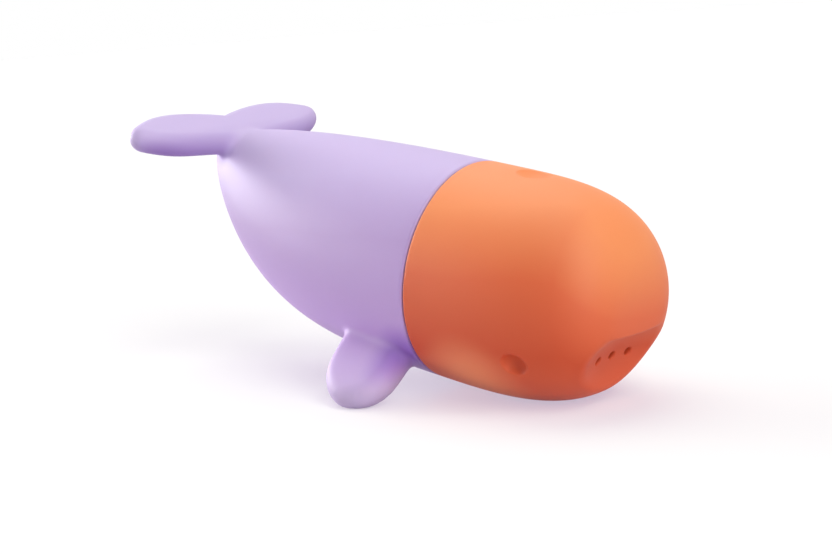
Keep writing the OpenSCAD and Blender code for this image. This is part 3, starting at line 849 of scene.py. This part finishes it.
# Squeaker cover. A thin white disc pressed into the back of the case, with a ring
# of round vents, each flared at the back, that let the cap's air in to the reed.
COVER_T, COVER_EDGE, COVER_SHARP = 1.5, 0.2, math.radians(35)
VENT_R, VENT_COUNT, VENT_RING_R, VENT_FLARE = 1.2, 6, BORE_R * 0.6, 0.3
VENT_SIDES, FLARE_OUT, DRILL_SHARE = 32, 0.02, 4


def vent_tree():
    """Cuts a ring of flared vents through a disc that lies flat with its back at zero height."""
    tree = bpy.data.node_groups.new("vent_ring", "GeometryNodeTree")
    for name, kind in (("Disc", "Geometry"), ("Vents", "Int"), ("Vent radius", "Float"), ("Ring radius", "Float"),
                       ("Drill length", "Float"), ("Flare", "Float"), ("Plastic", "Material")):
        tree.interface.new_socket(name, in_out="INPUT", socket_type="NodeSocket" + kind)
    tree.interface.new_socket("Vented disc", in_out="OUTPUT", socket_type="NodeSocketGeometry")
    nodes = Nodes(tree)
    step = nodes.node
    given = {socket.name: Value(nodes, socket) for socket in tree.nodes.new("NodeGroupInput").outputs}
    ring_points = step("GeometryNodeMeshCircle", {}, {"Vertices": given["Vents"], "Radius": given["Ring radius"]})
    drill = step("GeometryNodeMeshCylinder", {}, {
        "Vertices": VENT_SIDES, "Radius": given["Vent radius"], "Depth": given["Drill length"]})
    flare = step("GeometryNodeMeshCone", {}, {
        "Vertices": VENT_SIDES, "Radius Bottom": given["Vent radius"] + given["Flare"],
        "Radius Top": given["Vent radius"], "Depth": given["Flare"]})
    flare = step("GeometryNodeTransform", {}, {"Geometry": flare, "Translation": (0, 0, -FLARE_OUT)})
    disc = given["Disc"]
    for cutter in (drill, flare):
        placed = step("GeometryNodeInstanceOnPoints", {}, {"Points": ring_points, "Instance": cutter})
        loose = step("GeometryNodeRealizeInstances", {}, {"Geometry": placed})
        disc = step("GeometryNodeMeshBoolean", {"operation": "DIFFERENCE"}, {0: disc, 1: loose})
    whole = step("GeometryNodeRealizeInstances", {}, {"Geometry": disc})
    step("NodeGroupOutput", {}, {
        0: step("GeometryNodeSetMaterial", {}, {"Geometry": whole, "Material": given["Plastic"]})})
    return tree


cover_rim = eased([(0, -BORE_R), (0, BORE_R), (COVER_T, BORE_R), (COVER_T, -BORE_R)], COVER_EDGE)
per_corner = len(cover_rim) // 4
cover_outline = np.array([(0, 0), *cover_rim[per_corner:3 * per_corner], (COVER_T, 0)])
blank_mesh = turned_mesh("cover_blank", [cover_outline] * CASE_SIDES, all_round(CASE_SIDES))
blank_mesh.vertices.foreach_set("co", places(blank_mesh)[:, [1, 2, 0]].ravel())
blank = bpy.data.objects.new("cover_blank", blank_mesh)
scene.collection.objects.link(blank)
vents = blank.modifiers.new("vents", "NODES")
vents.node_group = vent_tree()
vent_sizes = {
    "Vents": VENT_COUNT, "Vent radius": VENT_R, "Ring radius": VENT_RING_R,
    "Drill length": COVER_T * DRILL_SHARE, "Flare": VENT_FLARE, "Plastic": gloss_white}
for socket in vents.node_group.interface.items_tree:
    if socket.name in vent_sizes:
        vents[socket.identifier] = vent_sizes[socket.name]
cover_mesh = bpy.data.meshes.new_from_object(blank.evaluated_get(bpy.context.evaluated_depsgraph_get()))
bpy.data.objects.remove(blank)
cover_mesh.vertices.foreach_set("co", places(cover_mesh)[:, [2, 0, 1]].ravel())
cover_mesh.update()
cover = on_voice_mesh("cover_disc", cover_mesh)
cover.data.set_sharp_from_angle(angle=COVER_SHARP)
carried(cover, gloss_white, "squeaker_cover", "squeaker")

# Studio. A sheet of white paper under and behind the toy, in a dim room that looks
# white. Wide soft lamps stand at its right front, low at its nose, high behind it,
# overhead and low at its tail, and the paper keeps the toy's shadow.
PAPER_HALF, PAPER_GLOW, ROOM_DIM = 9, 0.555, 0.05
LAMPS = {  # turn around the toy and rise above the floor in degrees, strength, and width in degrees
    "front_right": (345, 45, 1.4, 40),
    "nose_front": (342, 13, 0.95, 22),
    "behind_high": (145, 62, 1.4, 55),
    "top_light": (0, 88, 0.6, 80),
    "tail_side": (186, 6, 4.0, 38),
    "near_side": (210, 5, 0.6, 25)}


def where_looked_at(nodes):
    """One for rays that look at the background: from the camera, off a shine or through something clear."""
    camera_ray, glossy_ray, clear_ray = (
        nodes.node("ShaderNodeLightPath", {}, {}, "Is " + ray + " Ray") for ray in ("Camera", "Glossy", "Transmission"))
    return camera_ray.at_least(glossy_ray.at_least(clear_ray))


corner_signs = ((-1, -1), (1, -1), (1, 1), (-1, 1))
paper_sheet = bpy.data.objects.new("paper_sheet", bpy.data.meshes.new("paper_sheet"))
paper_sheet.data.from_pydata([(PAPER_HALF * x, PAPER_HALF * y, 0) for x, y in corner_signs], [], [(0, 1, 2, 3)])
scene.collection.objects.link(paper_sheet)
paper = Finish("white_paper")
glow = paper.node("ShaderNodeEmission", {}, {"Color": (0.91, 0.80, 1), "Strength": PAPER_GLOW}, "Emission")
seen_matte = paper.node("ShaderNodeBsdfDiffuse", {}, {"Color": (0.45, 0.49, 0.395)}, "BSDF")
matte = paper.node("ShaderNodeBsdfDiffuse", {}, {"Color": (0.76, 0.74, 0.76)}, "BSDF")
bright = paper.node("ShaderNodeAddShader", {}, {0: glow, 1: seen_matte})
seen_paper = paper.node("ShaderNodeMixShader", {}, {0: where_looked_at(paper), 1: matte, 2: bright})
paper.fill(paper.tree.nodes["Material Output"].inputs["Surface"], seen_paper)
paper_sheet.data.materials.append(paper.material)

for name, (turn, rise, strength, width) in LAMPS.items():
    lamp = bpy.data.lights.new(name, "SUN")
    lamp.energy, lamp.angle = strength, math.radians(width)
    stand = bpy.data.objects.new(name, lamp)
    stand.rotation_euler = towards(turn, rise).to_track_quat("Z", "Y").to_euler()
    scene.collection.objects.link(stand)

room = bpy.data.worlds.new("white_room")
room.use_nodes = True
scene.world = room
walls = Nodes(room.node_tree)
dim = walls.tree.nodes["Background"]
walls.fill(dim.inputs["Color"], (1, 1, 1))
walls.fill(dim.inputs["Strength"], ROOM_DIM)
white = walls.node("ShaderNodeBackground", {}, {"Color": (1, 1, 1)})
seen_room = walls.node("ShaderNodeMixShader", {}, {
    0: where_looked_at(walls), 1: Value(walls, dim.outputs[0]), 2: white})
walls.fill(walls.tree.nodes["World Output"].inputs["Surface"], seen_room)
